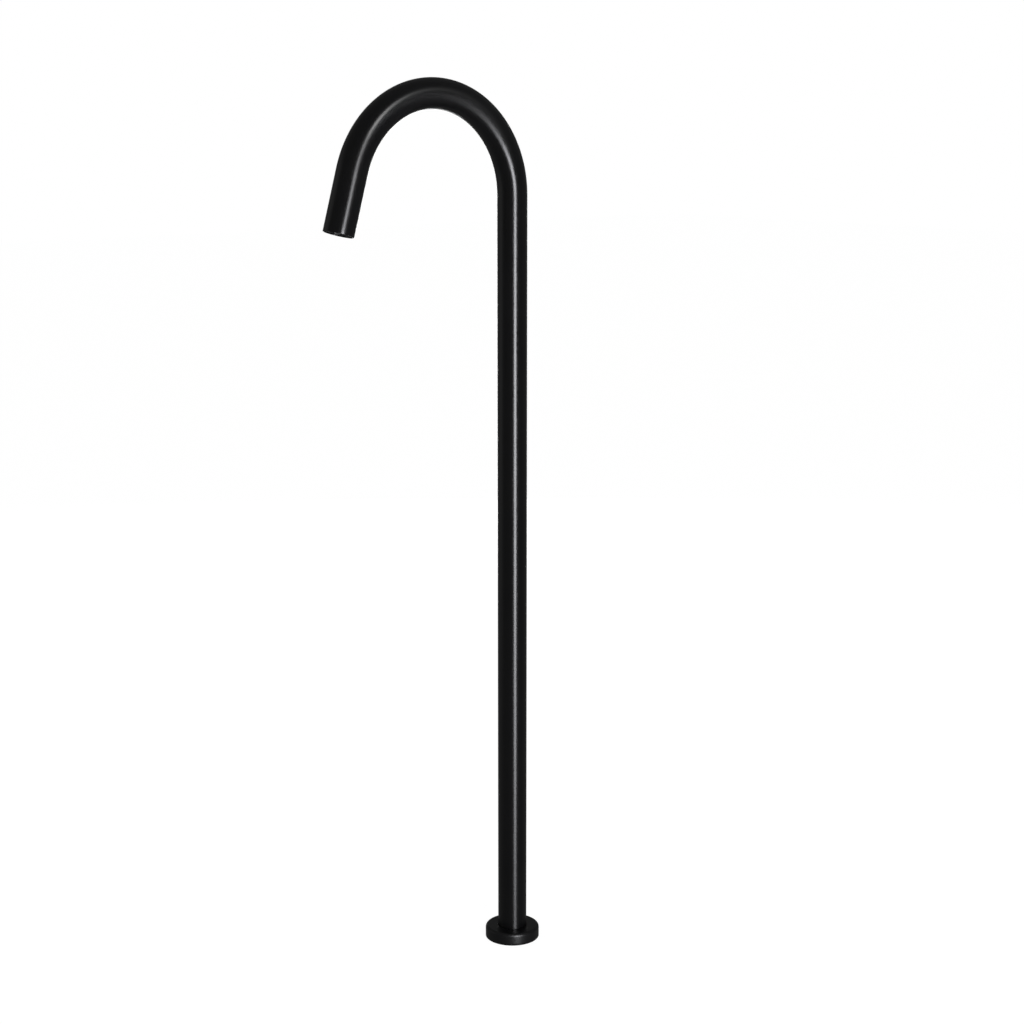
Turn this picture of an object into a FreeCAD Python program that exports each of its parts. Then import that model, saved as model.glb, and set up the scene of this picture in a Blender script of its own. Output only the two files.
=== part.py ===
import FreeCAD, Part
import math
import os
from FreeCAD import Vector as V

# Floor standing bath filler: a one-piece gooseneck column on a small round foot.
# Millimetres. Z up, the floor is Z = 0, the origin is on the column's axis at the floor.
# The spout reaches out towards -Y.

# ---------------------------------------------------------------- driving sizes
TUBE_R = 19.0            # outside radius of the column tube (38 mm tube)
TUBE_WALL = 1.5
BEND_R = 124.0           # radius of the gooseneck, to the tube's centreline
BEND_DEG = 164.0         # how far the gooseneck turns over
BEND_Z = 992.0           # height where the straight column ends and the bend begins
LEG = 76.0               # straight length after the bend, down to the outlet

COVER_R = 36.0           # cover flange over the foot
COVER_H = 16.0
COVER_EDGE_R = 4.0       # rounded upper edge of the cover
COVER_WALL = 2.6
COVER_TOP = 3.0
COVER_BORE_R = 19.35

FOOT_R = 32.0            # brass foot that is screwed to the floor
FOOT_T = 6.0
FOOT_PCD = 51.0          # fixing holes
FOOT_HOLES = 3
FOOT_HOLE_R = 2.75
FOOT_CSK_R = 5.3

SPIGOT_R = 14.0          # spigot that stands up inside the column
SPIGOT_TOP = 58.0
INLET_R = 9.315          # minor radius of the G1/2 inlet thread
INLET_DEPTH = 15.0
PLUG_BORE_R = 8.0
COLUMN_GAP = 0.3         # column turns just clear of the foot

SLEEVE_R = TUBE_R - TUBE_WALL - 0.02
SLEEVE_BORE_R = SPIGOT_R + 0.05
SLEEVE_TOP = 66.0
SLEEVE_RIM_Z = 62.6
SLEEVE_RIM_R = 9.6

GRUB_Z = 10.9            # grub screws, above the foot and under the cover
GRUB_R = 2.45
GRUB_COUNT = 3
GROOVE_HALF = 1.9        # 90 degree locking groove around the spigot

HOSE_R = 8.0             # inner hose, braided, 12 mm bore
HOSE_BORE_R = 6.0
HOSE_BOTTOM = 62.9
FERRULE_R = 9.0
TAIL_BORE_R = 4.5
BARB_R = 5.95

# Outlet end, measured inwards along the leg from the outlet plane
BUSH_FACE = 1.0
BUSH_END = 30.0
AER_BORE_R = 14.0
AER_SEAT = 15.0
CLIP_POCKET_R = 11.0
PORT_START = 19.0
PORT_R = 8.25
HOSE_TOP_S = 37.9

AER_R = 13.92            # aerator housing, male M28 x 1
AER_FACE = 1.4
AER_END = 12.5
AER_CAVITY_R = 11.9
AER_LIP_R = 10.9

OUT = "parts"
os.makedirs(OUT, exist_ok=True)

TUBE_RI = TUBE_R - TUBE_WALL
X, Y, Z = V(1, 0, 0), V(0, 1, 0), V(0, 0, 1)
O = V(0, 0, 0)

# ---------------------------------------------------------------- helpers


def pt(r, z):
    return V(r, 0, z)


def profile(items):
    """Closed wire in the XZ plane from points (r, z). An item (r, z, mid_r, mid_z) is reached by an arc through the mid point."""
    edges = []
    n = len(items)
    for i in range(n):
        a, b = items[i], items[(i + 1) % n]
        p, q = pt(a[0], a[1]), pt(b[0], b[1])
        if len(b) == 4:
            edges.append(Part.Arc(p, pt(b[2], b[3]), q).toShape())
        else:
            edges.append(Part.LineSegment(p, q).toShape())
    return Part.Wire(edges)


def turned(items):
    """A body of revolution about Z from a profile of (r, z) points."""
    face = Part.Face(profile(items))
    return face.revolve(O, Z, 360)


def round_mid(cx, cz, r, deg):
    a = math.radians(deg)
    return cx + r * math.cos(a), cz + r * math.sin(a)


def ring(r_in, r_out, z0, z1):
    return turned([(r_in, z0), (r_out, z0), (r_out, z1), (r_in, z1)])


def o_ring(r_centre, r_section, z):
    t = Part.makeTorus(r_centre, r_section)
    t.translate(V(0, 0, z))
    return t


def cyl(r, h, base=O, axis=Z):
    return Part.makeCylinder(r, h, base, axis)


def hexagon_prism(across_flats, h, base=O):
    r = across_flats / math.sqrt(3)
    pts = [V(r * math.cos(math.radians(60 * i)), r * math.sin(math.radians(60 * i)), 0) + base for i in range(6)]
    return Part.Face(Part.makePolygon(pts + [pts[0]])).extrude(V(0, 0, h))


def spin(shape, deg, axis=Z, centre=O):
    s = shape.copy()
    s.rotate(centre, axis, deg)
    return s


def save(name, shape):
    solids = shape.Solids
    for s in solids:
        assert s.isValid() and s.Volume > 0, name
    out = solids[0] if len(solids) == 1 else Part.makeCompound(solids)
    out.exportStep(os.path.join(OUT, name + ".step"))
    b = out.BoundBox
    print("%-20s solids %2d  volume %10.1f mm3  z %8.2f to %8.2f" % (name, len(solids), sum(s.Volume for s in solids), b.ZMin, b.ZMax))
    return out


# ---------------------------------------------------------------- the column's path
LEAN = 180.0 - BEND_DEG                      # the leg's lean away from plumb
BEND_CENTRE = V(0, -BEND_R, BEND_Z)
_a = math.radians(BEND_DEG)
BEND_END = V(0, -BEND_R + BEND_R * math.cos(_a), BEND_Z + BEND_R * math.sin(_a))
FLOW = V(0, -math.sin(_a), math.cos(_a))     # way the water leaves
OUTLET = BEND_END + FLOW * LEG


def at_outlet(shape):
    """Places a shape made along +Z from the outlet plane inwards, so that Z = 0 is the outlet plane."""
    s = shape.copy()
    s.rotate(O, X, -LEAN)
    s.translate(OUTLET)
    return s


def bend_pipe(r):
    circle = Part.Face(Part.Wire(Part.Circle(V(0, 0, BEND_Z), Z, r).toShape()))
    return circle.revolve(BEND_CENTRE, V(1, 0, 0), BEND_DEG)


def path_rod(r, z_low, s_end):
    """Solid rod of radius r along the column's path, from height z_low to s_end before the outlet plane."""
    low = cyl(r, BEND_Z - z_low, V(0, 0, z_low))
    leg = at_outlet(cyl(r, LEG - s_end, V(0, 0, s_end)))
    return low.fuse([bend_pipe(r), leg]).removeSplitter()


# ---------------------------------------------------------------- foot and what it carries
def base_foot():
    gd = GROOVE_HALF
    top = FOOT_T
    o_z = (27.0, 47.0)
    o_half = 1.25
    o_bottom = 12.08
    pts = [
        (INLET_R + 0.8, 0),
        (12.0, 0), (12.0, 1.5), (16.0, 1.5), (16.0, 0),
        (FOOT_R, 0), (FOOT_R, top - 0.8), (FOOT_R - 0.8, top),
        (SPIGOT_R + 0.9, top), (SPIGOT_R, top + 0.9, *round_mid(SPIGOT_R + 0.9, top + 0.9, 0.9, 225)),
        (SPIGOT_R, GRUB_Z - gd), (SPIGOT_R - gd, GRUB_Z), (SPIGOT_R, GRUB_Z + gd),
    ]
    for z in o_z:
        pts += [(SPIGOT_R, z - o_half), (o_bottom, z - o_half), (o_bottom, z + o_half), (SPIGOT_R, z + o_half)]
    pts += [
        (SPIGOT_R, SPIGOT_TOP - 1.2), (SPIGOT_R - 1.2, SPIGOT_TOP),
        (PLUG_BORE_R + 0.8, SPIGOT_TOP), (PLUG_BORE_R, SPIGOT_TOP - 0.8),
        (PLUG_BORE_R, INLET_DEPTH), (INLET_R, INLET_DEPTH), (INLET_R, 0.8),
    ]
    foot = turned(pts)
    cuts = []
    for i in range(FOOT_HOLES):
        a = math.radians(90 + 360.0 * i / FOOT_HOLES)
        c = V(FOOT_PCD / 2 * math.cos(a), FOOT_PCD / 2 * math.sin(a), 0)
        cuts.append(cyl(FOOT_HOLE_R, FOOT_T + 2, c - Z))
        depth = FOOT_CSK_R - FOOT_HOLE_R
        cuts.append(Part.makeCone(FOOT_HOLE_R, FOOT_CSK_R, depth, c + V(0, 0, FOOT_T - depth)))
        cuts.append(cyl(FOOT_CSK_R, 1.0, c + V(0, 0, FOOT_T)))
    return foot.cut(cuts)


save("base_foot", base_foot())
save("base_seal", ring(12.1, 15.9, 0.0, 1.45))
save("spigot_o_rings", Part.makeCompound([o_ring(13.03, 0.93, z) for z in (27.0, 47.0)]))

# ---------------------------------------------------------------- column
GRUB_ANGLES = [30 + 360.0 * i / GRUB_COUNT for i in range(GRUB_COUNT)]


def radial(shape, deg):
    """Turns a shape made along +Z from the column's axis so that it points out sideways at GRUB_Z."""
    s = shape.copy()
    s.rotate(O, Y, 90)
    s.rotate(O, Z, deg)
    s.translate(V(0, 0, GRUB_Z))
    return s


def spout_tube():
    z0 = FOOT_T + COLUMN_GAP
    rod = path_rod(TUBE_R, z0, 20)
    er = 0.6
    mouth = turned([
        (0, 0), (TUBE_R - er, 0),
        (TUBE_R, er, *round_mid(TUBE_R - er, er, er, -45)),
        (TUBE_R, 20), (0, 20)])
    outer = rod.fuse(at_outlet(mouth)).removeSplitter()
    inner = path_rod(TUBE_RI, z0 - 2, -2)
    tube = outer.cut(inner)
    chamfer = at_outlet(Part.makeCone(TUBE_RI + 0.3, TUBE_RI, 0.3, O, Z).fuse(cyl(TUBE_RI + 0.3, 1.0, V(0, 0, -1.0))))
    tube = tube.cut(chamfer)
    holes = [radial(cyl(GRUB_R + 0.35, 8, V(0, 0, 14)), a) for a in GRUB_ANGLES]
    return tube.cut(holes)


def column_sleeve():
    z0 = FOOT_T + COLUMN_GAP
    s = turned([
        (SLEEVE_BORE_R + 0.7, z0), (SLEEVE_R - 0.4, z0), (SLEEVE_R, z0 + 0.4),
        (SLEEVE_R, SLEEVE_TOP - 0.8), (SLEEVE_R - 0.8, SLEEVE_TOP),
        (SLEEVE_RIM_R, SLEEVE_TOP), (SLEEVE_RIM_R, SLEEVE_RIM_Z),
        (SLEEVE_BORE_R, SLEEVE_RIM_Z), (SLEEVE_BORE_R, z0 + 0.7)])
    holes = [radial(cyl(GRUB_R + 0.05, 8, V(0, 0, 12)), a) for a in GRUB_ANGLES]
    return s.cut(holes)


def grub_screw():
    """Along +Z from the column's axis: cone tip, body, chamfer and hexagon socket."""
    tip, shoulder, end = 12.9, 15.2, 18.8
    g = turned([(0, tip), (0.6, tip), (GRUB_R, shoulder), (GRUB_R, end - 0.4), (GRUB_R - 0.4, end), (0, end)])
    socket = hexagon_prism(2.5, 3.0, V(0, 0, end - 2.2))
    return g.cut(socket)


save("spout_tube", spout_tube())
save("column_sleeve", column_sleeve())
save("grub_screws", Part.makeCompound([radial(grub_screw(), a) for a in GRUB_ANGLES]))

# ---------------------------------------------------------------- hose inside the column
PLUG_R = PLUG_BORE_R - 0.05
PLUG_O_Z = (34.0, 43.0)


def barb(r_out, z0, z1, count):
    """Points up the outside of a hose barb, from z0 to z1."""
    pts = []
    step = (z1 - z0) / count
    for i in range(count):
        a = z0 + i * step
        pts += [(r_out, a + 0.3 * step), (r_out - 0.55, a + step)]
    return pts


def hose_plug():
    pts = [(TAIL_BORE_R, 28.0), (PLUG_R - 0.9, 28.0), (PLUG_R, 28.9)]
    for z in PLUG_O_Z:
        pts += [(PLUG_R, z - 1.1), (6.25, z - 1.1), (6.25, z + 1.1), (PLUG_R, z + 1.1)]
    pts += [(PLUG_R, 58.4), (11.1, 58.4), (11.5, 58.8), (11.5, 62.0), (11.1, 62.4), (BARB_R, 62.4)]
    pts += barb(BARB_R, 63.0, 84.0, 6)
    pts += [(TAIL_BORE_R, 84.0)]
    return turned(pts)


save("hose_plug", hose_plug())
save("plug_o_rings", Part.makeCompound([o_ring(7.1, 0.83, z) for z in PLUG_O_Z]))
save("inner_hose", path_rod(HOSE_R, HOSE_BOTTOM, HOSE_TOP_S).cut(path_rod(HOSE_BORE_R, HOSE_BOTTOM - 2, HOSE_TOP_S - 2)))


def ferrule(z0, z1):
    """Crimped sleeve over a hose end: two rolled grooves around it."""
    n = FERRULE_R - 0.45
    pts = [(HOSE_R + 0.03, z0), (FERRULE_R, z0)]
    for c in (z0 + 0.33 * (z1 - z0), z0 + 0.66 * (z1 - z0)):
        pts += [(FERRULE_R, c - 1.8), (n, c - 1.0), (n, c + 1.0), (FERRULE_R, c + 1.8)]
    pts += [(FERRULE_R, z1), (HOSE_R + 0.03, z1)]
    return turned(pts)


save("lower_ferrule", ferrule(66.5, 84.0))
save("upper_ferrule", at_outlet(ferrule(39.0, 56.5)))


def upper_tail():
    r = PORT_R - 0.05
    pts = [
        (TAIL_BORE_R, 16.4), (r - 0.6, 16.4), (r, 17.0), (r, 17.6), (7.35, 17.6), (7.35, 18.85), (r, 18.85),
        (r, 23.4), (6.5, 23.4), (6.5, 25.6), (r, 25.6), (r, 30.3),
        (10.6, 30.3), (11.0, 30.7), (11.0, 36.8), (10.6, 37.2), (BARB_R, 37.2)]
    pts += barb(BARB_R, 38.0, 58.0, 6)
    pts += [(TAIL_BORE_R, 58.0)]
    return turned(pts)


save("upper_tail", at_outlet(upper_tail()))
save("upper_tail_o_ring", at_outlet(o_ring(7.35, 0.83, 24.5)))


def tail_clip():
    """Snap ring in the tail's groove, open on one side, with a hole at each end for pliers."""
    c = ring(7.42, 9.6, 17.75, 18.7)
    gap = Part.makeBox(3.4, 8, 4, V(-1.7, 6, 16))
    lug = [cyl(1.25, 0.95, V(sx * 2.7, 9.1, 17.75)) for sx in (-1, 1)]
    eye = [cyl(0.6, 3, V(sx * 2.7, 9.2, 17)) for sx in (-1, 1)]
    return c.cut(gap).fuse(lug).cut([gap] + eye)


save("upper_tail_clip", at_outlet(tail_clip()))


def outlet_bush():
    r = TUBE_RI - 0.02
    return turned([
        (AER_BORE_R + 0.6, BUSH_FACE), (r, BUSH_FACE), (r, BUSH_END - 0.8), (r - 0.8, BUSH_END),
        (PORT_R + 0.5, BUSH_END), (PORT_R, BUSH_END - 0.5), (PORT_R, PORT_START),
        (CLIP_POCKET_R, PORT_START), (CLIP_POCKET_R, AER_SEAT), (AER_BORE_R, AER_SEAT), (AER_BORE_R, BUSH_FACE + 0.6)])


save("outlet_bush", at_outlet(outlet_bush()))


def hose_spacer():
    """Snap-on spacer that keeps the hose off the tube: a split collar with three arms."""
    h = 10.0
    collar = ring(HOSE_R + 0.05, HOSE_R + 1.8, 0, h)
    arms = []
    for i in range(3):
        arm = Part.makeBox(TUBE_RI - 0.4 - HOSE_R - 0.9, 2.0, h, V(HOSE_R + 0.9, -1.0, 0))
        pad = ring(TUBE_RI - 1.6, TUBE_RI - 0.15, 0, h).common(Part.makeBox(20, 9, h, V(10, -4.5, 0)))
        arms += [spin(arm, 30 + 120 * i), spin(pad, 30 + 120 * i)]
    body = collar.fuse(arms).removeSplitter()
    return body.cut(Part.makeBox(5.0, 6, h + 2, V(-2.5, HOSE_R - 2, -1)))


def bend_place(shape, deg):
    """Places a shape made along +Z round the bend, deg after its start."""
    s = shape.copy()
    s.translate(V(0, 0, BEND_Z))
    s.rotate(BEND_CENTRE, X, deg)
    return s


sp = hose_spacer()
spacers = [sp.copy() for _ in range(4)]
for s, z in zip(spacers, (180.0, 420.0, 660.0, 900.0)):
    s.translate(V(0, 0, z))
save("hose_spacers", Part.makeCompound(spacers))

# ---------------------------------------------------------------- cover flange
def cover_flange():
    e = COVER_EDGE_R
    ri = COVER_R - COVER_WALL
    ceil = COVER_H - COVER_TOP
    boss_r, boss_z = 23.4, 8.0
    gz0, gz1, gr = 9.6, 12.4, 21.55
    ie = 1.8
    return turned([
        (COVER_R - 0.4, 0), (COVER_R, 0.4), (COVER_R, COVER_H - e),
        (COVER_R - e, COVER_H, *round_mid(COVER_R - e, COVER_H - e, e, 45)),
        (COVER_BORE_R + 0.5, COVER_H), (COVER_BORE_R, COVER_H - 0.5),
        (COVER_BORE_R, gz1), (gr, gz1), (gr, gz0), (COVER_BORE_R, gz0),
        (COVER_BORE_R, boss_z + 0.5), (COVER_BORE_R + 0.5, boss_z), (boss_r, boss_z), (boss_r, ceil),
        (ri - ie, ceil), (ri, ceil - ie, *round_mid(ri - ie, ceil - ie, ie, 45)),
        (ri, 0)])


save("cover_flange", cover_flange())
save("cover_o_ring", o_ring(20.32, 1.2, 11.0))

# ---------------------------------------------------------------- aerator
def aerator_housing():
    pts = [(AER_LIP_R, AER_FACE), (AER_R - 0.3, AER_FACE), (AER_R, AER_FACE + 0.3)]
    z = 6.0
    pts.append((AER_R, z))
    while z < AER_END - 1.4:              # male thread, drawn as rings of 1 mm pitch
        pts += [(AER_R - 0.45, z + 0.5), (AER_R, z + 1.0)]
        z += 1.0
    pts += [(AER_R, AER_END), (AER_CAVITY_R, AER_END), (AER_CAVITY_R, AER_FACE + 2.0), (AER_LIP_R, AER_FACE + 2.0)]
    body = turned(pts)
    notches = [spin(Part.makeBox(4.0, 2.0, 1.1, V(AER_LIP_R - 0.5, -1.0, AER_FACE - 0.1)), 45 * i) for i in range(8)]
    return body.cut(notches)


def flow_straightener():
    z0, z1 = AER_FACE + 2.05, AER_END - 0.1
    body = turned([(0, z0), (AER_CAVITY_R - 0.1, z0), (AER_CAVITY_R - 0.1, z1), (AER_CAVITY_R - 1.3, z1), (AER_CAVITY_R - 1.3, z0 + 5), (0, z0 + 5)])
    nose = cyl(AER_LIP_R - 0.15, 0.9, V(0, 0, z0 - 0.9))
    body = body.fuse(nose).removeSplitter()
    af, pitch = 2.2, 2.62
    cells = []
    for i in range(-6, 7):
        for j in range(-6, 7):
            x = pitch * (i + j * 0.5)
            y = pitch * j * math.sqrt(3) / 2
            if math.hypot(x, y) < AER_LIP_R - 0.7 - af * 0.55:
                cells.append(spin(hexagon_prism(af, 9, V(0, 0, z0 - 2)), 30).translated(V(x, y, 0)))
    return body.cut(cells)


def screen():
    z0 = AER_END + 0.08
    disc = cyl(13.1, 0.4, V(0, 0, z0))
    holes = []
    pitch = 1.95
    for i in range(-8, 9):
        for j in range(-8, 9):
            x = pitch * (i + j * 0.5)
            y = pitch * j * math.sqrt(3) / 2
            if math.hypot(x, y) < 9.9:
                holes.append(cyl(0.68, 2, V(x, y, z0 - 1)))
    return disc.cut(holes)


save("aerator_housing", at_outlet(aerator_housing()))
save("flow_straightener", at_outlet(flow_straightener()))
save("aerator_screen", at_outlet(screen()))
save("aerator_washer", at_outlet(ring(11.2, 13.6, AER_END + 0.52, AER_SEAT - 0.03)))

print("outlet centre %.3f %.3f %.3f  flow %.5f %.5f %.5f" % (*OUTLET, *FLOW))
print("height %.2f  reach %.2f" % (BEND_Z + BEND_R + TUBE_R, -OUTLET.y))
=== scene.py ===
import math

import bpy
import numpy as np
from mathutils import Matrix, Vector


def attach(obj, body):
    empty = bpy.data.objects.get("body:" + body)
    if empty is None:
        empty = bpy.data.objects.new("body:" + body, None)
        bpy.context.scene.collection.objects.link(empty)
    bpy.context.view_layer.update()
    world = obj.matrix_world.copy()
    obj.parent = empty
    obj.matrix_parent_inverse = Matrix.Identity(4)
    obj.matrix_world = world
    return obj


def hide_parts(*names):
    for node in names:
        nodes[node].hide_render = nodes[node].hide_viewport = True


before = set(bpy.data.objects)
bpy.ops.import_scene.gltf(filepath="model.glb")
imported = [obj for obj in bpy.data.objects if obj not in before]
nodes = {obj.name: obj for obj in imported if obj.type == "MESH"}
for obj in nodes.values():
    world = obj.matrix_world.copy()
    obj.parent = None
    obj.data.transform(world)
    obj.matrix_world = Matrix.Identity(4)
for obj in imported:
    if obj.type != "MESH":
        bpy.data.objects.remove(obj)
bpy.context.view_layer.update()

MM = 0.001

# ------------------------------------------------------------------ sizes, as in the CAD model (mm)
TUBE_R, TUBE_RI = 19.0, 17.5
TUBE_Z0 = 6.3
BEND_R, BEND_DEG, BEND_Z, LEG = 124.0, 164.0, 992.0, 76.0
COVER_R, COVER_H, COVER_EDGE_R, COVER_WALL, COVER_TOP, COVER_BORE_R = 36.0, 16.0, 4.0, 2.6, 3.0, 19.35
GRUB_Z = 10.9

LEAN = 180.0 - BEND_DEG
TURN = math.radians(BEND_DEG)
BEND_END = Vector((0, -BEND_R + BEND_R * math.cos(TURN), BEND_Z + BEND_R * math.sin(TURN)))
FLOW = Vector((0, -math.sin(TURN), math.cos(TURN)))
OUTLET = BEND_END + FLOW * LEG
AT_OUTLET = Matrix.Translation(OUTLET * MM) @ Matrix.Rotation(math.radians(-LEAN), 4, "X")


# ------------------------------------------------------------------ mesh helpers
def arc(cx, cy, r, a0, a1, n):
    """Points along an arc, in the profile's plane, ends included."""
    return [(cx + r * math.cos(math.radians(a0 + (a1 - a0) * i / n)), cy + r * math.sin(math.radians(a0 + (a1 - a0) * i / n))) for i in range(n + 1)]


def rings_to_mesh(name, rings, matrix=None, run=None, closed=True):
    """A tube-like mesh from rings of points in mm. The UV map "run" has U along the profile and V round the ring."""
    k, n = len(rings), len(rings[0])
    co = np.array(rings, float).reshape(-1, 3) * MM
    faces, uvs = [], []
    if run is None:
        mid = np.array(rings, float)[:, 0]
        step = np.linalg.norm(np.roll(mid, -1, axis=0) - mid, axis=1)
        run = np.concatenate([[0], np.cumsum(step)])
    for i in range(k if closed else k - 1):
        a, b = i, (i + 1) % k
        for j in range(n):
            j2 = (j + 1) % n
            faces.append((a * n + j, a * n + j2, b * n + j2, b * n + j))
            u0, u1, v0, v1 = run[i] * MM, run[i + 1] * MM, j / n, (j + 1) / n
            uvs += [(u0, v0), (u0, v1), (u1, v1), (u1, v0)]
    me = bpy.data.meshes.new(name)
    me.from_pydata([tuple(c) for c in co], [], faces)
    layer = me.uv_layers.new(name="run")
    layer.data.foreach_set("uv", np.array(uvs, np.float32).ravel())
    ob = bpy.data.objects.new(name, me)
    bpy.context.scene.collection.objects.link(ob)
    if matrix is not None:
        ob.matrix_world = matrix
    outward(ob)
    return ob


def outward(ob):
    """Faces point out: the signed volume is positive."""
    me = ob.data
    me.calc_loop_triangles()
    co = np.array([v.co for v in me.vertices], float)
    tri = np.array([t.vertices for t in me.loop_triangles], int)
    volume = np.einsum("ij,ij->i", co[tri[:, 0]], np.cross(co[tri[:, 1]], co[tri[:, 2]])).sum()
    if volume < 0:
        me.flip_normals()


def smooth(ob, degrees=28.0):
    me = ob.data
    me.shade_smooth()
    me.set_sharp_from_angle(angle=math.radians(degrees))
    me.update()


def lathe(name, profile, segments=192, matrix=None):
    """A body of revolution about its own Z from a closed profile of (r, z) in mm."""
    rings = []
    for r, z in profile:
        rings.append([(r * math.cos(2 * math.pi * j / segments), r * math.sin(2 * math.pi * j / segments), z) for j in range(segments)])
    return rings_to_mesh(name, rings, matrix)


def cutter(points_fn, name="cut"):
    me = bpy.data.meshes.new(name)
    verts, faces = points_fn
    me.from_pydata(verts, [], faces)
    ob = bpy.data.objects.new(name, me)
    bpy.context.scene.collection.objects.link(ob)
    outward(ob)
    return ob


def prism(outline, z0, z1, matrix):
    """Closed prism over an outline of (x, y) points in mm, then placed."""
    n = len(outline)
    verts = [matrix @ (Vector((x, y, z)) * MM) for z in (z0, z1) for x, y in outline]
    faces = [tuple(range(n))[::-1], tuple(range(n, 2 * n))] + [(i, (i + 1) % n, n + (i + 1) % n, n + i) for i in range(n)]
    return cutter((verts, faces))


def stack(profile, segments, matrix):
    """Closed solid of revolution that reaches its axis, for cutting: profile of (r, z) from bottom to top."""
    verts, faces = [], []
    for r, z in profile:
        verts += [matrix @ (Vector((r * math.cos(2 * math.pi * j / segments), r * math.sin(2 * math.pi * j / segments), z)) * MM) for j in range(segments)]
    m = len(profile)
    for i in range(m - 1):
        faces += [(i * segments + j, i * segments + (j + 1) % segments, (i + 1) * segments + (j + 1) % segments, (i + 1) * segments + j) for j in range(segments)]
    faces += [tuple(range(segments))[::-1], tuple(range((m - 1) * segments, m * segments))]
    return cutter((verts, faces))


def circle(r, n=48):
    return [(r * math.cos(2 * math.pi * i / n), r * math.sin(2 * math.pi * i / n)) for i in range(n)]


def cut(ob, cutters):
    """Cuts the closed pieces in cutters out of ob, for good."""
    for c in cutters:
        m = ob.modifiers.new("cut", "BOOLEAN")
        m.operation = "DIFFERENCE"
        m.solver = "EXACT"
        m.object = c
    bpy.context.view_layer.update()
    dg = bpy.context.evaluated_depsgraph_get()
    me = bpy.data.meshes.new_from_object(ob.evaluated_get(dg))
    old = ob.data
    ob.modifiers.clear()
    ob.data = me
    me.name = old.name
    bpy.data.meshes.remove(old)
    for c in cutters:
        data = c.data
        bpy.data.objects.remove(c)
        bpy.data.meshes.remove(data)


# ------------------------------------------------------------------ node helpers
class Shader:
    """A material under construction: short names for the nodes that are used here."""

    def __init__(self, name):
        self.m = bpy.data.materials.new(name)
        self.m.use_nodes = True
        self.t = self.m.node_tree
        self.p = next(n for n in self.t.nodes if n.type == "BSDF_PRINCIPLED")
        self.out = next(n for n in self.t.nodes if n.type == "OUTPUT_MATERIAL")

    def node(self, kind, **values):
        n = self.t.nodes.new(kind)
        for k, v in values.items():
            setattr(n, k, v)
        return n

    def link(self, a, b):
        self.t.links.new(a, b)
        return a

    def put(self, socket, value):
        if isinstance(value, bpy.types.NodeSocket):
            self.link(value, socket)
        else:
            socket.default_value = value

    def object_coords(self):
        return self.node("ShaderNodeTexCoord").outputs["Object"]

    def uv(self, name="run"):
        return self.node("ShaderNodeUVMap", uv_map=name).outputs["UV"]

    def scaled(self, vector, x, y, z):
        n = self.node("ShaderNodeMapping")
        self.link(vector, n.inputs["Vector"])
        n.inputs["Scale"].default_value = (x, y, z)
        return n.outputs["Vector"]

    def noise(self, vector, scale=1.0, detail=3.0, rough=0.55, kind="3D"):
        n = self.node("ShaderNodeTexNoise", noise_dimensions=kind)
        self.link(vector, n.inputs["Vector"])
        n.inputs["Scale"].default_value = scale
        n.inputs["Detail"].default_value = detail
        n.inputs["Roughness"].default_value = rough
        return n.outputs["Fac"]

    def cells(self, vector, scale=1.0, feature="F1"):
        n = self.node("ShaderNodeTexVoronoi", feature=feature)
        self.link(vector, n.inputs["Vector"])
        n.inputs["Scale"].default_value = scale
        return n.outputs["Distance"]

    def math(self, op, a, b=0.0, c=0.0, clamp=False):
        n = self.node("ShaderNodeMath", operation=op, use_clamp=clamp)
        for s, v in zip(n.inputs, (a, b, c)):
            self.put(s, v)
        return n.outputs[0]

    def fit(self, value, a, b, lo, hi, smooth_step=False):
        n = self.node("ShaderNodeMapRange")
        if smooth_step:
            n.interpolation_type = "SMOOTHSTEP"
        for s, v in zip(("Value", "From Min", "From Max", "To Min", "To Max"), (value, a, b, lo, hi)):
            self.put(n.inputs[s], v)
        return n.outputs[0]

    def blend(self, fac, a, b):
        n = self.node("ShaderNodeMix", data_type="RGBA")
        self.put(n.inputs["Factor"], fac)
        self.put(n.inputs[6], a)
        self.put(n.inputs[7], b)
        return n.outputs[2]

    def xyz(self, vector):
        n = self.node("ShaderNodeSeparateXYZ")
        self.link(vector, n.inputs[0])
        return n.outputs

    def join(self, x=0.0, y=0.0, z=0.0):
        n = self.node("ShaderNodeCombineXYZ")
        for s, v in zip(n.inputs, (x, y, z)):
            self.put(s, v)
        return n.outputs[0]

    def bump(self, height, distance, strength=1.0, after=None):
        n = self.node("ShaderNodeBump")
        n.inputs["Strength"].default_value = strength
        n.inputs["Distance"].default_value = distance
        self.link(height, n.inputs["Height"])
        if after is not None:
            self.link(after, n.inputs["Normal"])
        return n.outputs["Normal"]

    def set(self, **values):
        names = {"colour": "Base Color", "rough": "Roughness", "metal": "Metallic", "normal": "Normal", "specular": "Specular IOR Level", "tangent": "Tangent",
                 "aniso": "Anisotropic", "coat": "Coat Weight", "coat_rough": "Coat Roughness", "ior": "IOR"}
        for k, v in values.items():
            self.put(self.p.inputs[names[k]], v)
        return self.m


def rgb(r, g, b):
    return (r, g, b, 1.0)


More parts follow.
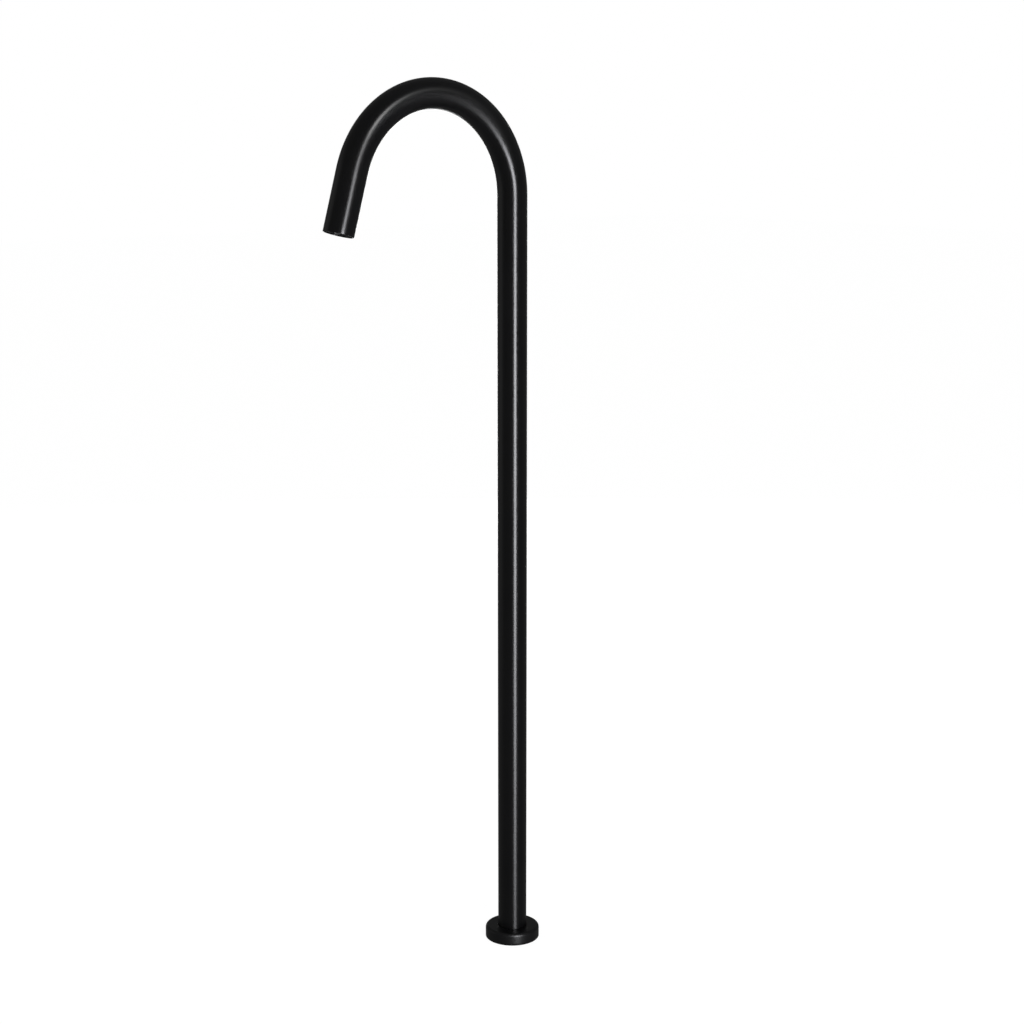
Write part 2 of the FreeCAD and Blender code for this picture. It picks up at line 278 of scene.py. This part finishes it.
# ------------------------------------------------------------------ finishes
def satin_black(name, rough, along, around, aniso=1.0, bend=None):
    """Thin black coat over a tube that was brushed round and round: fine hairlines round it, a little unevenness in the gloss, faint mottling in the coat.
    U of the map "run" goes along the tube, V round it; the sheen spreads along the tube, across the hairlines.
    Where the tube is bent its skin is stretched and its sheen spreads a little more: bend is where that begins, is full, is full for the last time and ends (m of U), then what is
    added there to the roughness."""
    s = Shader(name)
    uv = s.uv()
    hair = s.noise(s.scaled(uv, 9000.0, around * 3.0, 1.0), 1.0, 3.0, 0.6, "2D")
    coarse = s.noise(s.scaled(uv, 700.0, around, 1.0), 1.0, 2.0, 0.5, "2D")
    cloud = s.noise(s.scaled(s.object_coords(), 1.0, 1.0, 1.0), along, 4.0, 0.6)
    speck = s.cells(s.object_coords(), 900.0)
    colour = s.blend(s.fit(cloud, 0.3, 0.7, 0.0, 1.0), rgb(0.0014, 0.0014, 0.0016), rgb(0.0026, 0.0026, 0.0029))
    colour = s.blend(s.fit(speck, 0.0, 0.12, 0.35, 0.0), colour, rgb(0.0040, 0.0040, 0.0044))
    r = s.math("ADD", s.fit(cloud, 0.3, 0.7, rough - 0.004, rough + 0.004), s.fit(coarse, 0.3, 0.7, -0.003, 0.003))
    height = s.math("ADD", s.math("MULTIPLY", hair, 0.35), s.math("MULTIPLY", coarse, 0.65))
    tangent = s.node("ShaderNodeTangent", direction_type="UV_MAP", uv_map="run").outputs["Tangent"]
    if bend:
        begin, full, last, end, more_rough = bend
        u = s.xyz(uv)[0]
        w = s.math("MULTIPLY", s.fit(u, begin, full, 0.0, 1.0, True), s.fit(u, last, end, 1.0, 0.0, True))
        r = s.math("ADD", r, s.math("MULTIPLY", w, more_rough))
    return s.set(colour=colour, rough=r, normal=s.bump(height, 0.0000006, 0.5), tangent=tangent, aniso=aniso, specular=0.5)


def turned_brass(name="brass_turned"):
    """Turned brass: tool marks round the axis, stronger on the flat faces, with a thin brown oxide in patches."""
    s = Shader(name)
    c = s.object_coords()
    x, y, z = s.xyz(c)
    r = s.math("SQRT", s.math("ADD", s.math("MULTIPLY", x, x), s.math("MULTIPLY", y, y)))
    ring = s.noise(s.join(s.math("MULTIPLY", r, 5200.0), s.math("MULTIPLY", z, 5200.0)), 1.0, 2.0, 0.6, "2D")
    wide = s.noise(s.join(s.math("MULTIPLY", r, 900.0), s.math("MULTIPLY", z, 900.0)), 1.0, 2.0, 0.5, "2D")
    patch = s.noise(c, 95.0, 5.0, 0.62)
    colour = s.blend(s.fit(patch, 0.35, 0.7, 0.0, 1.0), rgb(0.76, 0.53, 0.22), rgb(0.56, 0.36, 0.14))
    colour = s.blend(s.fit(ring, 0.45, 0.75, 0.0, 0.35), colour, rgb(0.86, 0.66, 0.33))
    rough = s.math("ADD", s.fit(patch, 0.3, 0.7, 0.22, 0.36), s.fit(wide, 0.3, 0.7, -0.03, 0.05))
    height = s.math("ADD", ring, s.math("MULTIPLY", wide, 0.8))
    return s.set(colour=colour, rough=rough, metal=1.0, normal=s.bump(height, 0.00001, 0.6))


def rubber(name="rubber_black", colour_a=(0.012, 0.012, 0.013), colour_b=(0.022, 0.022, 0.023)):
    s = Shader(name)
    c = s.object_coords()
    grain = s.noise(c, 2600.0, 3.0, 0.6)
    bloom = s.noise(c, 160.0, 4.0, 0.6)
    colour = s.blend(s.fit(bloom, 0.35, 0.7, 0.0, 1.0), rgb(*colour_a), rgb(*colour_b))
    return s.set(colour=colour, rough=s.fit(bloom, 0.3, 0.7, 0.5, 0.66), normal=s.bump(grain, 0.00002, 0.4), specular=0.4)


def moulded(name, base, worn, rough=0.42, grain_size=1500.0):
    """Injection moulded plastic: fine spark-eroded grain, a slightly glossier and paler bloom in patches."""
    s = Shader(name)
    c = s.object_coords()
    grain = s.cells(c, grain_size)
    flow = s.noise(c, 120.0, 4.0, 0.6)
    colour = s.blend(s.fit(flow, 0.35, 0.7, 0.0, 1.0), rgb(*base), rgb(*worn))
    return s.set(colour=colour, rough=s.fit(flow, 0.3, 0.7, rough - 0.05, rough + 0.07), normal=s.bump(grain, 0.000012, 0.35), specular=0.5)


def steel(name, light, dark, rough, streak=(1.0, 1.0, 14.0), fine=1300.0):
    """Drawn or rolled steel: streaks one way, a little colour variation."""
    s = Shader(name)
    c = s.object_coords()
    line = s.noise(s.scaled(c, fine * streak[0], fine * streak[1], fine * streak[2] / 14.0), 1.0, 3.0, 0.6)
    tone = s.noise(c, 210.0, 4.0, 0.6)
    colour = s.blend(s.fit(tone, 0.35, 0.7, 0.0, 1.0), rgb(*light), rgb(*dark))
    return s.set(colour=colour, rough=s.math("ADD", s.fit(tone, 0.3, 0.7, rough - 0.04, rough + 0.05), s.fit(line, 0.3, 0.7, -0.03, 0.03)), metal=1.0,
                 normal=s.bump(line, 0.00001, 0.35))


def braid(name="hose_braid"):
    """Braided stainless sheath: two families of flat strands wound opposite ways, crossing over and under."""
    s = Shader(name)
    u, v, _ = s.xyz(s.uv())
    across = s.math("MULTIPLY", v, 24.0)
    along = s.math("MULTIPLY", u, 1000.0 / 2.09)
    p = s.math("ADD", across, along)
    q = s.math("SUBTRACT", across, along)
    fp, fq = s.math("FRACT", p), s.math("FRACT", q)
    up = s.math("ABSOLUTE", s.math("SUBTRACT", s.math("MULTIPLY", fp, 2.0), 1.0))
    uq = s.math("ABSOLUTE", s.math("SUBTRACT", s.math("MULTIPLY", fq, 2.0), 1.0))
    over = s.math("GREATER_THAN", s.math("FRACT", s.math("MULTIPLY", s.math("ADD", s.math("FLOOR", p), s.math("FLOOR", q)), 0.5)), 0.25)
    hp = s.math("SUBTRACT", 1.0, s.math("POWER", up, 2.5))
    hq = s.math("SUBTRACT", 1.0, s.math("POWER", uq, 2.5))
    h = s.math("ADD", s.math("MULTIPLY", hp, over), s.math("MULTIPLY", hq, s.math("SUBTRACT", 1.0, over)))
    wires = s.math("ABSOLUTE", s.math("SINE", s.math("MULTIPLY", s.math("ADD", s.math("MULTIPLY", fp, over), s.math("MULTIPLY", fq, s.math("SUBTRACT", 1.0, over))), 6 * math.pi)))
    height = s.math("ADD", h, s.math("MULTIPLY", wires, 0.25))
    # near-black where the strands meet: partly the inner hose showing through, partly painted shade darkening each
    # strand towards its edges
    colour = s.blend(s.fit(h, 0.0, 0.6, 0.0, 1.0), rgb(0.05, 0.05, 0.05), rgb(0.62, 0.62, 0.60))
    return s.set(colour=colour, rough=s.fit(wires, 0.0, 1.0, 0.42, 0.24), metal=s.fit(h, 0.0, 0.5, 0.3, 1.0), normal=s.bump(height, 0.00025, 0.8))


TUBE_BLACK = satin_black("satin_black_tube", 0.297, 14.0, 4.0, 0.74, (1.044, 1.104, 1.120, 1.240, 0.052))
COVER_BLACK = satin_black("satin_black_cover", 0.36, 30.0, 4.0, 0.0)
BUSH_BLACK = satin_black("satin_black_bush", 0.36, 60.0, 4.0, 0.8)
BRASS = turned_brass()
RUBBER = rubber()
BLACK_PLASTIC = moulded("moulded_black", (0.010, 0.010, 0.011), (0.018, 0.018, 0.019), 0.40)
GREY_PLASTIC = moulded("moulded_grey", (0.20, 0.20, 0.21), (0.26, 0.26, 0.27), 0.38)
SPACER_PLASTIC = moulded("moulded_natural", (0.60, 0.59, 0.55), (0.70, 0.69, 0.65), 0.45, 1100.0)
GRUB_STEEL = steel("steel_black_oxide", (0.045, 0.045, 0.050), (0.085, 0.082, 0.080), 0.38)
FERRULE_STEEL = steel("steel_ferrule", (0.60, 0.60, 0.59), (0.52, 0.52, 0.51), 0.27)
SPRING_STEEL = steel("steel_spring", (0.42, 0.42, 0.43), (0.30, 0.30, 0.32), 0.30)
SCREEN_STEEL = steel("steel_screen", (0.58, 0.58, 0.57), (0.50, 0.50, 0.49), 0.24, (1.0, 14.0, 14.0))
BRAID = braid()


def dress(ob, material):
    ob.data.materials.clear()
    ob.data.materials.append(material)


def place(ob, body, slot_name, material, *stands_for):
    dress(ob, material)
    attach(ob, body)
    if stands_for:
        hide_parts(*stands_for)
    return ob


# ------------------------------------------------------------------ the column tube
RING = 192
RING_COS = [math.cos(2 * math.pi * j / RING) for j in range(RING)]
RING_SIN = [math.sin(2 * math.pi * j / RING) for j in range(RING)]


def path(s):
    """Centre and side vector at s mm along the centreline from the floor."""
    bend = BEND_R * TURN
    if s <= BEND_Z:
        return Vector((0, 0, s)), Vector((0, 1, 0))
    if s <= BEND_Z + bend:
        a = (s - BEND_Z) / BEND_R
        return Vector((0, -BEND_R + BEND_R * math.cos(a), BEND_Z + BEND_R * math.sin(a))), Vector((0, math.cos(a), math.sin(a)))
    d = s - BEND_Z - bend
    return BEND_END + FLOW * d, Vector((0, math.cos(TURN), math.sin(TURN)))


PATH_END = BEND_Z + BEND_R * TURN + LEG


def ring_at(s, r):
    c, n = path(s)
    return [(r * RING_COS[j], c.y + r * RING_SIN[j] * n.y, c.z + r * RING_SIN[j] * n.z) for j in range(RING)]


def stations(z0, end, fine_low=True):
    low = list(np.arange(z0, 18.5, 0.9)) if fine_low else [z0]
    col = list(np.linspace(24.0, BEND_Z, 42)) if z0 < 24 else list(np.linspace(z0 + 8, BEND_Z, 40))
    bend = [BEND_Z + BEND_R * TURN * i / 132 for i in range(1, 133)]
    leg = list(np.linspace(BEND_Z + BEND_R * TURN, end, 12))[1:]
    return low + col + bend + leg


er = 0.6
outer = [(s, TUBE_R) for s in stations(TUBE_Z0, PATH_END - er)]
mouth = [(PATH_END - er + er * math.sin(math.radians(a)), TUBE_R - er + er * math.cos(math.radians(a))) for a in (18, 36, 54, 72, 90)]
inside = [(PATH_END, TUBE_RI + 0.3), (PATH_END - 0.3, TUBE_RI)] + [(s, TUBE_RI) for s in stations(TUBE_Z0, PATH_END - 1.0)[::-1]]
tube = rings_to_mesh("spout_tube_finished", [ring_at(s, r) for s, r in outer + mouth + inside])
holes = [prism(circle(2.8, 56), 14.0, 22.0, Matrix.Translation((0, 0, GRUB_Z * MM)) @ Matrix.Rotation(math.radians(a), 4, "Z") @ Matrix.Rotation(math.radians(90), 4, "Y"))
         for a in (30, 150, 270)]
cut(tube, holes)
smooth(tube)
place(tube, "column", "black_tube", TUBE_BLACK, "spout_tube")

# ------------------------------------------------------------------ the cover flange
e, ri, ceil, ie = COVER_EDGE_R, COVER_R - COVER_WALL, COVER_H - COVER_TOP, 1.8
cover_profile = (
    [(COVER_R - 0.4, 0), (COVER_R - 0.12, 0.1), (COVER_R, 0.4), (COVER_R, 4.0), (COVER_R, 8.0)]
    + arc(COVER_R - e, COVER_H - e, e, 0, 90, 18)
    + [(30.0, COVER_H), (27.0, COVER_H), (24.0, COVER_H), (21.5, COVER_H), (COVER_BORE_R + 0.5, COVER_H)]
    + arc(COVER_BORE_R + 0.5, COVER_H - 0.5, 0.5, 100, 180, 4)
    + [(COVER_BORE_R, 12.4), (21.55, 12.4), (21.55, 9.6), (COVER_BORE_R, 9.6), (COVER_BORE_R, 8.5), (COVER_BORE_R + 0.5, 8.0), (23.4, 8.0), (23.4, ceil)]
    + arc(ri - ie, ceil - ie, ie, 90, 0, 6)
    + [(ri, 5.0), (ri, 0)]
)
cover = lathe("cover_flange_finished", cover_profile, 240)
smooth(cover)
place(cover, "cover", "black_cover", COVER_BLACK, "cover_flange")

# ------------------------------------------------------------------ the bush in the mouth
bush_profile = [(14.6, 1.0), (17.2, 1.0), (17.48, 1.25), (17.48, 10.0), (17.48, 20.0), (17.48, 29.2), (16.68, 30.0), (8.75, 30.0), (8.25, 29.5), (8.25, 24.0), (8.25, 19.0), (11.0, 19.0), (11.0, 15.0),
                (14.0, 15.0), (14.0, 8.0), (14.0, 1.6)]
bush = lathe("outlet_bush_finished", bush_profile, 192, AT_OUTLET)
smooth(bush)
place(bush, "column", "black_bush", BUSH_BLACK, "outlet_bush")


# ------------------------------------------------------------------ the screwed aerator ring
def thread_radius(turn, z):
    """Male thread of 1 mm pitch and 0.45 mm depth between z 6 and 12, running out at both ends."""
    fade = max(0.0, min(1.0, (z - 5.6) / 0.7)) * max(0.0, min(1.0, (12.2 - z) / 0.7))
    t = (z - turn) % 1.0
    v = abs(t - 0.5) * 2.0
    v = max(0.0, min(1.0, (v - 0.12) / 0.76))
    return 13.92 - 0.45 * fade * (1.0 - v)


SEG = 192
rows = [[(r, z)] * SEG for r, z in ((10.9, 1.4), (12.3, 1.4), (13.62, 1.4), (13.83, 1.49), (13.92, 1.7), (13.92, 3.5), (13.92, 5.5))]
for i in range(86):
    z = 5.6 + i * 0.08
    rows.append([(thread_radius(j / SEG, z), z) for j in range(SEG)])
rows += [[(r, z)] * SEG for r, z in ((13.92, 12.5), (11.9, 12.5), (11.9, 8.0), (11.9, 3.4), (10.9, 3.4))]
ring_points = [[(r * math.cos(2 * math.pi * j / SEG), r * math.sin(2 * math.pi * j / SEG), z) for j, (r, z) in enumerate(row)] for row in rows]
housing = rings_to_mesh("aerator_housing_finished", ring_points, AT_OUTLET)
notches = [prism([(10.4, -1.0), (14.4, -1.0), (14.4, 1.0), (10.4, 1.0)], 1.3, 2.4, AT_OUTLET @ Matrix.Rotation(math.radians(45 * i), 4, "Z")) for i in range(8)]
cut(housing, notches)
smooth(housing, 35)
place(housing, "aerator_housing", "black_plastic", BLACK_PLASTIC, "aerator_housing")


# ------------------------------------------------------------------ the foot and its sleeve
def foot():
    top, r = 6.0, 14.0
    p = [(10.115, 0), (12.0, 0), (12.0, 1.5), (16.0, 1.5), (16.0, 0), (32.0, 0), (32.0, 2.6), (32.0, 5.2)] + arc(31.2, 5.2, 0.8, 22.5, 90, 3)
    p += [(28.0, top), (22.0, top), (r + 0.9, top)] + arc(r + 0.9, top + 0.9, 0.9, 255, 180, 5)
    p += [(r, 9.0), (12.1, 10.9), (r, 12.8)]
    for z in (27.0, 47.0):
        p += [(r, z - 1.25), (12.08, z - 1.25), (12.08, z + 1.25), (r, z + 1.25)]
    p += [(r, 56.8), (12.8, 58.0), (8.8, 58.0), (8.0, 57.2), (8.0, 36.0), (8.0, 15.0), (9.315, 15.0)]
    turns = 96
    z = 14.0
    while z > 1.2:                                             # female G1/2 thread, drawn with its 1.814 mm pitch
        p += [(9.315, z), (9.315 + 0.55, z - 0.907 / 2 - 0.25), (9.315, z - 0.907)] if z - 1.814 > 0.8 else []
        z -= 1.814
    p += [(9.315, 0.8)]
    return lathe("base_foot_finished", p, turns * 2)


base = foot()
csk = []
for i in range(3):
    a = math.radians(90 + 120 * i)
    m = Matrix.Translation((25.5 * math.cos(a) * MM, 25.5 * math.sin(a) * MM, 0))
    csk.append(stack([(2.75, -1.0), (2.75, 6.0 - 2.55), (5.3, 6.0), (5.3, 7.0)], 64, m))
cut(base, csk)
smooth(base)
place(base, "base", "brass", BRASS, "base_foot")

sleeve_profile = [(14.75, 6.3), (17.08, 6.3), (17.48, 6.7), (17.48, 9.0), (17.48, 13.0), (17.48, 30.0), (17.48, 65.2), (16.68, 66.0), (9.6, 66.0), (9.6, 62.6), (14.05, 62.6), (14.05, 30.0), (14.05, 13.0),
                  (14.05, 9.0), (14.05, 7.0)]
sleeve = lathe("column_sleeve_finished", sleeve_profile, 192)
cut(sleeve, [prism(circle(2.5, 48), 12.0, 20.0, Matrix.Translation((0, 0, GRUB_Z * MM)) @ Matrix.Rotation(math.radians(a), 4, "Z") @ Matrix.Rotation(math.radians(90), 4, "Y")) for a in (30, 150, 270)])
smooth(sleeve)
place(sleeve, "column", "brass", BRASS, "column_sleeve")

# ------------------------------------------------------------------ the braided hose inside
hose_end = PATH_END - 37.9
hose_out = [(s, 8.0) for s in [62.9] + list(np.linspace(66.0, BEND_Z, 60)) + [BEND_Z + BEND_R * TURN * i / 80 for i in range(1, 81)] + list(np.linspace(BEND_Z + BEND_R * TURN, hose_end, 6))[1:]]
hose_in = [(s, 6.0) for s, _ in hose_out[::-1]]
hose_ring = 64


def hose_ring_at(s, r):
    c, n = path(s)
    return [(r * math.cos(2 * math.pi * j / hose_ring), c.y + r * math.sin(2 * math.pi * j / hose_ring) * n.y, c.z + r * math.sin(2 * math.pi * j / hose_ring) * n.z) for j in range(hose_ring)]


hose_run = [s for s, _ in hose_out] + [hose_end + 2] + [2 * hose_end + 2 - s for s, _ in hose_in[1:]] + [2 * hose_end + 4 - 62.9]
hose = rings_to_mesh("inner_hose_braided", [hose_ring_at(s, r) for s, r in hose_out + hose_in], run=hose_run)
smooth(hose)
place(hose, "column", "braided_hose", BRAID, "inner_hose")

# ------------------------------------------------------------------ pieces whose CAD shape stays
for node_name, material in {
    "base_seal": RUBBER, "spigot_o_rings": RUBBER, "plug_o_rings": RUBBER, "upper_tail_o_ring": RUBBER, "cover_o_ring": RUBBER, "aerator_washer": RUBBER,
    "grub_screws": GRUB_STEEL, "hose_plug": BRASS, "upper_tail": BRASS, "lower_ferrule": FERRULE_STEEL, "upper_ferrule": FERRULE_STEEL, "upper_tail_clip": SPRING_STEEL,
    "aerator_screen": SCREEN_STEEL, "flow_straightener": GREY_PLASTIC, "hose_spacers": SPACER_PLASTIC,
}.items():
    dress(nodes[node_name], material)


# ------------------------------------------------------------------ floor
def floor():
    half = 14.0
    me = bpy.data.meshes.new("floor")
    me.from_pydata([(-half, -half, -0.0004), (half, -half, -0.0004), (half, half, -0.0004), (-half, half, -0.0004)], [], [(0, 1, 2, 3)])
    ob = bpy.data.objects.new("floor", me)
    bpy.context.scene.collection.objects.link(ob)
    s = Shader("pale_floor")
    c = s.object_coords()
    x, y, _ = s.xyz(c)
    r = s.math("SQRT", s.math("ADD", s.math("MULTIPLY", x, x), s.math("MULTIPLY", y, y)))
    tone = s.noise(c, 6.0, 3.0, 0.5)
    s.set(colour=s.blend(tone, rgb(0.10, 0.10, 0.10), rgb(0.12, 0.12, 0.12)), rough=0.9, specular=0.0)
    s.put(s.p.inputs["Emission Color"], rgb(1, 1, 1))
    # painted contact shadow: the floor's own glow is dimmer in a ring from the cover's rim (36 mm from the column's
    # axis) out to 70 mm
    s.put(s.p.inputs["Emission Strength"], s.fit(r, 0.036, 0.07, 0.96, 0.985, True))
    dress(ob, s.m)
    ob.visible_glossy = False
    ob.visible_diffuse = False
    ob.visible_shadow = False
    return ob


floor()


# ------------------------------------------------------------------ studio lights
def soft_box(name, azimuth, distance, z, height, width, radiance, colour=(1, 1, 1)):
    """Upright soft box that faces the column's axis. Azimuth 0 is on the -Y side, 90 on the +X side."""
    a = math.radians(azimuth)
    data = bpy.data.lights.new(name, "AREA")
    data.shape = "RECTANGLE"
    data.size, data.size_y = width, height
    data.energy = math.pi * width * height * radiance
    data.color = colour
    ob = bpy.data.objects.new(name, data)
    bpy.context.scene.collection.objects.link(ob)
    ob.location = (distance * math.sin(a), -distance * math.cos(a), z)
    ob.rotation_euler = (math.radians(90), 0, a)
    ob.visible_camera = False
    ob.visible_transmission = False
    return ob


def graded_box(name, azimuth, distance, z, height, width, radiance, colour, slope, curve):
    """The same as a sheet that gives light, brighter above than below; slope and curve set how it changes with height. Seen only in reflections."""
    a = math.radians(azimuth)
    h, w = height / 2, width / 2
    me = bpy.data.meshes.new(name)
    me.from_pydata([(-w, 0, -h), (w, 0, -h), (w, 0, h), (-w, 0, h)], [], [(0, 1, 2, 3)])
    ob = bpy.data.objects.new(name, me)
    bpy.context.scene.collection.objects.link(ob)
    ob.location = (distance * math.sin(a), -distance * math.cos(a), z)
    ob.rotation_euler = (0, 0, a)
    s = Shader(name + "_glow")
    u = s.math("DIVIDE", s.xyz(s.object_coords())[2], height)
    level = s.math("ADD", s.math("MULTIPLY", u, slope), 1.0)
    level = s.math("ADD", level, s.math("MULTIPLY", s.math("SUBTRACT", s.math("MULTIPLY", u, u), 1 / 12.0), curve))
    glow = s.node("ShaderNodeEmission")
    glow.inputs["Color"].default_value = rgb(*colour)
    s.link(s.math("MULTIPLY", s.math("MAXIMUM", level, 0.0), radiance), glow.inputs["Strength"])
    s.link(glow.outputs[0], s.out.inputs["Surface"])
    s.t.nodes.remove(s.p)
    dress(ob, s.m)
    ob.visible_camera = False
    ob.visible_shadow = False
    ob.visible_transmission = False
    return ob


graded_box("key_box", 73.0, 1.777, 0.071, 2.052, 0.48, 12.44, (0.96, 0.96, 1.0), 2.0, -1.1)
soft_box("upper_box", 70.1, 0.5, 1.331, 0.155, 0.152, 15.5)
soft_box("left_fill", -45.0, 3.0, 1.0, 2.4, 2.0, 0.14)
rear = soft_box("rear_box", 232.0, 3.0, 0.55, 1.5, 0.9, 6.0)

# the rear box is for the column: it leaves the low cover and the bush in the mouth alone
spared = bpy.data.collections.new("not_lit_from_behind")
for ob in (cover, bush):
    spared.objects.link(ob)
for entry in spared.collection_objects:
    entry.light_linking.link_state = "EXCLUDE"
rear.light_linking.receiver_collection = spared

world = bpy.data.worlds.new("studio")
bpy.context.scene.world = world
world.use_nodes = True
wt = world.node_tree
bg = wt.nodes["Background"]
bg.inputs["Color"].default_value = rgb(1, 1, 1)
ray = wt.nodes.new("ShaderNodeLightPath")
level = wt.nodes.new("ShaderNodeMapRange")
wt.links.new(ray.outputs["Is Camera Ray"], level.inputs["Value"])
level.inputs["To Min"].default_value = 0.105
level.inputs["To Max"].default_value = 1.0
wt.links.new(level.outputs[0], bg.inputs["Strength"])

# ------------------------------------------------------------------ camera, at the photograph's angle
cam_data = bpy.data.cameras.new("camera")
cam = bpy.data.objects.new("camera", cam_data)
bpy.context.scene.collection.objects.link(cam)
bpy.context.scene.camera = cam
azimuth, pitch = math.radians(50.421), math.radians(11.762)
cam.location = (2.412623 * math.sin(azimuth) - 0.00023, -2.412623 * math.cos(azimuth) - 0.00028, 1.089019)
look = Vector((-math.sin(azimuth) * math.cos(pitch), math.cos(azimuth) * math.cos(pitch), -math.sin(pitch)))
cam.rotation_mode = "QUATERNION"
cam.rotation_quaternion = look.to_track_quat("-Z", "Y")
cam_data.sensor_width = 36.0
cam_data.lens = 1900.692 / 1024 * 36.0
cam_data.clip_start, cam_data.clip_end = 0.05, 60.0

bpy.context.scene.view_settings.view_transform = "Standard"
bpy.context.scene.view_settings.look = "None"
bpy.context.scene.view_settings.exposure = 0.0
bpy.context.scene.view_settings.gamma = 1.0
